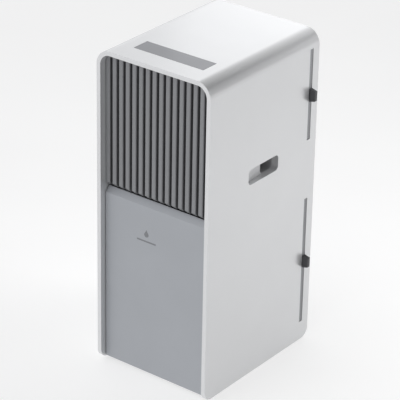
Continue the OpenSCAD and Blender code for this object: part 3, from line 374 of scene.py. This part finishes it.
def make_materials():
    looks = [moulded(name, color, rough, **extra)
             for name, (color, rough, extra) in MOULDED.items()]
    looks += [brushed(name, *values) for name, values in BRUSHED.items()]
    looks += [pocket_plastic(), grille_plastic(), fin_aluminium(), board_green(),
              filter_mesh(), tank_clear()]
    return {m.name: m.mat for m in looks}


MATS = make_materials()


# ---------------------------------------------------------------- mesh helpers

# Vertices closer than WELD are one, faces that turn less than FLAT are one, edges that
# turn more than CREASE get rounded, and those that still turn more than SMOOTH look sharp.
WELD = 0.002 * MM
FLAT = math.radians(0.6)
CREASE = math.radians(24.0)
SMOOTH = math.radians(32.0)
FACE_WEIGHT = 80


def clean_copy(node):
    """The node's surface as a bmesh of flat faces and arc strips."""
    bm = bmesh.new()
    bm.from_mesh(NODES[node].data)
    bmesh.ops.remove_doubles(bm, verts=bm.verts, dist=WELD)
    bmesh.ops.dissolve_limit(bm, angle_limit=FLAT, verts=bm.verts, edges=bm.edges)
    return bm


def anywhere(a, b):
    return True


def round_edges(bm, width, segments, where=anywhere):
    """Rounds the sharp edges whose two end points satisfy where."""
    edges = [e for e in bm.edges
             if len(e.link_faces) == 2 and e.calc_face_angle(0.0) >= CREASE
             and where(e.verts[0].co, e.verts[1].co)]
    if edges:
        bmesh.ops.bevel(bm, geom=edges, offset=width, offset_type="OFFSET",
                        segments=segments, profile=0.5, affect="EDGES",
                        clamp_overlap=True, miter_outer="SHARP", loop_slide=True)


def finish_mesh(bm, name, mat):
    """Turns the bmesh into an object with shading weighted by face area."""
    bmesh.ops.remove_doubles(bm, verts=bm.verts, dist=WELD)
    mesh = bpy.data.meshes.new(name)
    bm.to_mesh(mesh)
    bm.free()
    mesh.materials.append(mat)
    for poly in mesh.polygons:
        poly.use_smooth = True
    mesh.set_sharp_from_angle(angle=SMOOTH)
    obj = bpy.data.objects.new(name, mesh)
    scene.collection.objects.link(obj)
    weigh = obj.modifiers.new("weigh", "WEIGHTED_NORMAL")
    weigh.keep_sharp = True
    weigh.weight = FACE_WEIGHT
    view = bpy.context.evaluated_depsgraph_get()
    solid = bpy.data.meshes.new_from_object(obj.evaluated_get(view))
    obj.modifiers.clear()
    obj.data = solid
    bpy.data.meshes.remove(mesh)
    solid.name = name
    return obj


def stand_for(bm, node):
    """Makes the bmesh the visible piece of a node, on its body and with its material."""
    obj = finish_mesh(bm, node + "_piece", MATS[SLOT_OF[node]])
    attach(obj, BODY_OF[node])
    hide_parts(node)


# ---------------------------------------------------------------- pieces

# The sleeve's rounding, with its segments: on the two rims, and around slots and window.
RIM_ROUND, RIM_STEPS = 2.4 * MM, 4
CUT_ROUND, CUT_STEPS = 0.5 * MM, 2

# Edges nearer a rim than this stay sharp, and a vertex this close to a plane lies in it.
RIM_DEPTH = 6 * MM
SAME_PLACE = 0.05 * MM


def build_sleeve():
    """The shell: its front and rear rims are rounder than its slots and window."""
    lo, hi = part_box("sleeve")
    bm = clean_copy("sleeve")

    def on_rim(a, b):
        return any(abs(a.y - y) < SAME_PLACE and abs(b.y - y) < SAME_PLACE
                   for y in (lo.y, hi.y))

    def at_a_cut(a, b):
        return not on_rim(a, b) and max(abs(a.y), abs(b.y)) < hi.y - RIM_DEPTH

    round_edges(bm, RIM_ROUND, RIM_STEPS, on_rim)
    round_edges(bm, CUT_ROUND, CUT_STEPS, at_a_cut)
    stand_for(bm, "sleeve")


# Node: radius of its rounded edges in mm, and the segments they are made of.
ROUNDED = {
    "front_grille": (0.5, 2),
    "tank_front": (1.0, 3),
    "touch_strip": (0.25, 2),
    "pocket_right": (0.6, 3),
    "pocket_left": (0.6, 3),
    "upper_filter_tab": (1.2, 3),
    "lower_filter_tab": (1.2, 3),
    "rubber_feet": (1.0, 3),
    "rear_cover": (0.5, 2),
    "rear_screws": (0.25, 2),
    "drain_plug": (0.5, 3),
    "drain_spout": (0.4, 2),
    "power_inlet": (0.8, 3),
    "inlet_pins": (0.4, 2),
    "base_pan": (0.5, 2),
    "tank_bucket": (0.7, 2),
    "tank_lid": (0.5, 2),
    "tank_bail": (0.7, 2),
    "tank_float": (0.6, 2),
    "tank_sensor": (0.8, 2),
    "upper_filter_frame": (0.4, 2),
    "lower_filter_frame": (0.4, 2),
}


def build_rounded():
    for node, (width, segments) in ROUNDED.items():
        bm = clean_copy(node)
        round_edges(bm, width * MM, segments)
        stand_for(bm, node)


# The mark's place on the front panel: left of its middle and below its top edge.
MARK_LEFT = 20.5 * MM
DROP_BELOW = 63.5 * MM
DROP_R = 4.8 * MM
DROP_TIP = 5.0 * MM
DROP_STEPS = 32
BAR_BELOW = 78.0 * MM
BAR_W = 41.0 * MM
BAR_H = 3.0 * MM
MARK_SKIN = 0.15 * MM


def build_mark():
    """Plain drop over a fine bar, let into the front panel."""
    lo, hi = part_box("tank_front")
    middle = (lo.x + hi.x) / 2 - MARK_LEFT
    bm = bmesh.new()

    def plate(points):
        front = [bm.verts.new((x, lo.y - MARK_SKIN, z)) for x, z in points]
        back = [bm.verts.new((x, lo.y + MARK_SKIN, z)) for x, z in points]
        bm.faces.new(front)
        bm.faces.new(back[::-1])
        for i in range(len(points)):
            j = (i + 1) % len(points)
            bm.faces.new((front[j], front[i], back[i], back[j]))

    drop = []
    for i in range(DROP_STEPS):
        a = 2 * math.pi * i / DROP_STEPS
        pull = max(0.0, math.sin(a)) ** 3
        drop.append((middle + DROP_R * math.cos(a) * (1 - pull),
                     hi.z - DROP_BELOW + DROP_R * math.sin(a) + DROP_TIP * pull))
    plate(drop)

    x0, x1 = middle - BAR_W / 2, middle + BAR_W / 2
    z0 = hi.z - BAR_BELOW
    plate([(x0, z0), (x1, z0), (x1, z0 + BAR_H), (x0, z0 + BAR_H)])

    bmesh.ops.recalc_face_normals(bm, faces=bm.faces)
    obj = finish_mesh(bm, "panel_mark", MATS["mark_plastic"])
    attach(obj, BODY_OF["tank_front"])


def dress_cad():
    """Gives every CAD node that stays its procedural material."""
    for node, obj in NODES.items():
        for slot in obj.material_slots:
            slot.material = MATS[SLOT_OF[node]]


build_mark()
build_sleeve()
build_rounded()
dress_cad()


# ---------------------------------------------------------------- studio

DOME = 0.66
DOME_TINT = (0.985, 0.99, 1.0)

# Patches of the dome: direction, cosines where each is full and where it ends, strength.
PATCHES = (
    ((0.02, 0.71, 0.70), 0.96, 0.74, -0.55),
    ((-0.54, 0.71, 0.45), 0.98, 0.80, 0.42),
    ((0.95, -0.15, 0.25), 0.90, 0.0, -0.58),
    ((-0.35, -0.85, 0.45), 0.95, 0.2, 0.62),
)

# Square lamps: name, place, point aimed at, side, watts, seen in reflections.
LAMPS = (
    ("key", (0.85, 0.85, 0.75), (0.12, 0.15, 0.3), 0.5, 3.0, False),
    ("rear_glow", (0.18, 0.38, 1.0), (0.08, 0.1, 0.6), 0.3, 2.2, False),
    ("sheen", (-0.45, 0.95, 1.05), (0.05, 0.15, 0.6), 0.6, 0.42, True),
)

FLOOR_HALF = 20.0
FLOOR_DROP = 0.2 * MM
FLOOR_GLOW = 0.57


def make_world():
    """Pale dome with two darker and two brighter patches for the paint to reflect."""
    world = bpy.data.worlds.new("studio")
    scene.world = world
    world.use_nodes = True
    tree = world.node_tree
    back = tree.nodes["Background"]
    coords = tree.nodes.new("ShaderNodeTexCoord")
    total = tree.nodes.new("ShaderNodeValue").outputs[0]
    total.default_value = DOME
    for direction, inner, outer, depth in PATCHES:
        dot = tree.nodes.new("ShaderNodeVectorMath")
        dot.operation = "DOT_PRODUCT"
        dot.inputs[1].default_value = Vector(direction).normalized()
        tree.links.new(coords.outputs["Generated"], dot.inputs[0])
        fade = tree.nodes.new("ShaderNodeMapRange")
        fade.interpolation_type = "SMOOTHSTEP"
        fade.inputs["From Min"].default_value = outer
        fade.inputs["From Max"].default_value = inner
        fade.inputs["To Min"].default_value = 0.0
        fade.inputs["To Max"].default_value = depth
        tree.links.new(dot.outputs["Value"], fade.inputs["Value"])
        add = tree.nodes.new("ShaderNodeMath")
        tree.links.new(total, add.inputs[0])
        tree.links.new(fade.outputs["Result"], add.inputs[1])
        total = add.outputs[0]
    tree.links.new(total, back.inputs["Strength"])
    back.inputs["Color"].default_value = (*DOME_TINT, 1.0)


def make_lamps():
    for name, at, aim, side, power, glossy in LAMPS:
        data = bpy.data.lights.new(name, "AREA")
        data.shape = "SQUARE"
        data.size = side
        data.energy = power
        lamp = bpy.data.objects.new(name, data)
        scene.collection.objects.link(lamp)
        direction = Vector(aim) - Vector(at)
        lamp.rotation_euler = direction.to_track_quat("-Z", "Y").to_euler()
        lamp.location = at
        lamp.visible_glossy = glossy


def make_floor():
    """Plain pale paper just below the feet."""
    m = Nodes("floor_paper")
    cloud = m.noise(scale=3.0, detail=3.0, rough=0.5)
    tint = m.ramp(cloud, ((0.3, (0.46, 0.46, 0.46)), (0.7, (0.48, 0.48, 0.48))))
    m.link(tint, m.bsdf.inputs["Base Color"])
    m.set(roughness=0.95, emission_color=(1.0, 1.0, 1.0, 1.0), emission_strength=FLOOR_GLOW)
    m.bump(m.noise(scale=700.0), 0.02 * MM)
    mesh = bpy.data.meshes.new("floor")
    corners = ((-1, -1), (1, -1), (1, 1), (-1, 1))
    mesh.from_pydata([(x * FLOOR_HALF, y * FLOOR_HALF, -FLOOR_DROP) for x, y in corners],
                     [], [(0, 1, 2, 3)])
    mesh.materials.append(m.mat)
    floor = bpy.data.objects.new("floor", mesh)
    scene.collection.objects.link(floor)


make_world()
make_floor()
make_lamps()
scene.view_settings.view_transform = "Standard"
